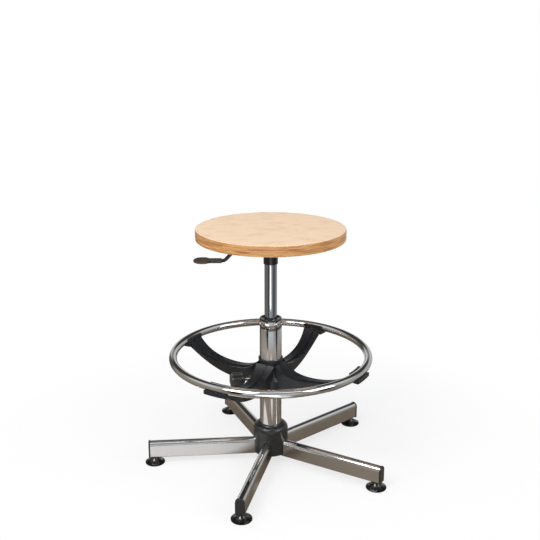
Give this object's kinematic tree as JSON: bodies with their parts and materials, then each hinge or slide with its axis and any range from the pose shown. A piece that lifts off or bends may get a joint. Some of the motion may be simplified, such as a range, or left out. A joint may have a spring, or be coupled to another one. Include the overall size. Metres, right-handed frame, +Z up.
{
  "type": "machinist stool",
  "caption": "Round plywood seat on a chromed gas lift with a height lever, a ring footrest clamped to the column, and a star base on floor glides.",
  "frame": {"origin": "on the floor, on the axis of the column", "axes": "+Z up along the column; -X towards the height lever; the picture is taken from -Y, so +X is to its right"},
  "size_m": [0.5458, 0.5565, 0.555],
  "materials": {
    "birch_plywood": "clear satin lacquer on pale veneer, layered edge",
    "black_steel": "black powder coat",
    "black_rod": "black powder coat",
    "zinc_steel": "bright zinc",
    "black_nylon": "fine grained",
    "chrome_tube": "polished chrome",
    "gas_lift_alloy": "turned",
    "bright_steel": "ground",
    "black_rubber": "moulded",
    "gloss_black_plastic": "moulded, glossy",
    "satin_black_plastic": "moulded, satin",
    "black_casting": "satin black powder coat on a cast alloy",
    "brass_insert": "turned"
  },
  "bodies": {
    "base": {"hub_core": "bright_steel", "hub_cover": "satin_black_plastic", "stand_tube": "chrome_tube", "guide_bush": "gloss_black_plastic", "tube_foot": "bright_steel", "lower_race": "bright_steel", "leg_1": "chrome_tube", "leg_2": "chrome_tube", "leg_3": "chrome_tube", "leg_4": "chrome_tube", "leg_5": "chrome_tube", "leg_cap_1": "satin_black_plastic", "leg_cap_2": "satin_black_plastic", "leg_cap_3": "satin_black_plastic", "leg_cap_4": "satin_black_plastic", "leg_cap_5": "satin_black_plastic"},
    "rod": {"piston_rod": "bright_steel", "piston": "black_nylon", "piston_ring": "black_rubber", "upper_race": "bright_steel", "bumper": "black_rubber", "rod_clip": "bright_steel"},
    "seat": {"seat_board": "birch_plywood", "seat_plate": "black_steel", "seat_screws": "zinc_steel", "cone_socket": "black_steel", "lever_pin": "zinc_steel", "pressure_tube": "chrome_tube", "valve_body": "gas_lift_alloy", "inner_cylinder": "bright_steel", "rod_guide": "gas_lift_alloy", "rod_seal": "black_rubber"},
    "lever": {"lever_rod": "black_rod", "lever_paddle": "black_nylon"},
    "release_pin": {"valve_pin": "bright_steel"},
    "ball_cage": {"ball_cage": "bright_steel"},
    "footrest": {"foot_ring": "chrome_tube", "ring_carrier": "black_casting", "ring_screws": "zinc_steel", "clamp_insert": "brass_insert"},
    "clamp_shoe": {"clamp_pad": "black_nylon"},
    "clamp_knob": {"clamp_knob": "satin_black_plastic", "clamp_stud": "bright_steel"},
    "glide_1": {"glide_1": "gloss_black_plastic"},
    "glide_2": {"glide_2": "gloss_black_plastic"},
    "glide_3": {"glide_3": "gloss_black_plastic"},
    "glide_4": {"glide_4": "gloss_black_plastic"},
    "glide_5": {"glide_5": "gloss_black_plastic"}
  },
  "joints": [
    {"name": "seat_swivel", "type": "hinge", "parent": "base", "child": "rod", "pos_m": [0, 0, 0.034], "axis": [0, 0, 1], "continuous": true},
    {"name": "seat_height", "type": "slide", "parent": "rod", "child": "seat", "axis": [0, 0, 1], "range_m": [-0.1, 0.1]},
    {"name": "lever_tilt", "type": "hinge", "parent": "seat", "child": "lever", "pos_m": [-0.028, 0, 0.5181], "axis": [0, 1, 0], "range_deg": [0, 5], "stiffness_Nm_per_rad": 4, "springref_deg": -5.73},
    {"name": "valve_press", "type": "slide", "parent": "seat", "child": "release_pin", "axis": [0, 0, 1], "range_m": [-0.0028, 0]},
    {"name": "bearing_roll", "type": "hinge", "parent": "base", "child": "ball_cage", "pos_m": [0, 0, 0.034], "axis": [0, 0, 1], "continuous": true},
    {"name": "footrest_height", "type": "slide", "parent": "base", "child": "footrest", "axis": [0, 0, 1], "range_m": [-0.085, 0.085]},
    {"name": "clamp_feed", "type": "slide", "parent": "footrest", "child": "clamp_shoe", "axis": [-0.9659, -0.2588, 0], "range_m": [0, 0.0011]},
    {"name": "clamp_turn", "type": "hinge", "parent": "clamp_shoe", "child": "clamp_knob", "pos_m": [-0.06761, -0.01812, 0.205], "axis": [-0.9659, -0.2588, 0], "range_deg": [0, 270]},
    {"name": "glide_turn_1", "type": "hinge", "parent": "base", "child": "glide_1", "pos_m": [0.20315, 0.17785, 0.01], "axis": [0, 0, 1], "continuous": true},
    {"name": "glide_turn_2", "type": "hinge", "parent": "base", "child": "glide_2", "pos_m": [-0.10636, 0.24817, 0.01], "axis": [0, 0, 1], "continuous": true},
    {"name": "glide_turn_3", "type": "hinge", "parent": "base", "child": "glide_3", "pos_m": [-0.26889, -0.02447, 0.01], "axis": [0, 0, 1], "continuous": true},
    {"name": "glide_turn_4", "type": "hinge", "parent": "base", "child": "glide_4", "pos_m": [-0.05982, -0.26329, 0.01], "axis": [0, 0, 1], "continuous": true},
    {"name": "glide_turn_5", "type": "hinge", "parent": "base", "child": "glide_5", "pos_m": [0.23192, -0.13825, 0.01], "axis": [0, 0, 1], "continuous": true}
  ],
  "couplings": [
    {"joint": "valve_press", "follows": "lever_tilt", "m_per_rad": -0.03},
    {"joint": "bearing_roll", "follows": "seat_swivel", "ratio": 0.5},
    {"joint": "clamp_turn", "follows": "clamp_feed", "rad_per_m": 4188.8}
  ]
}
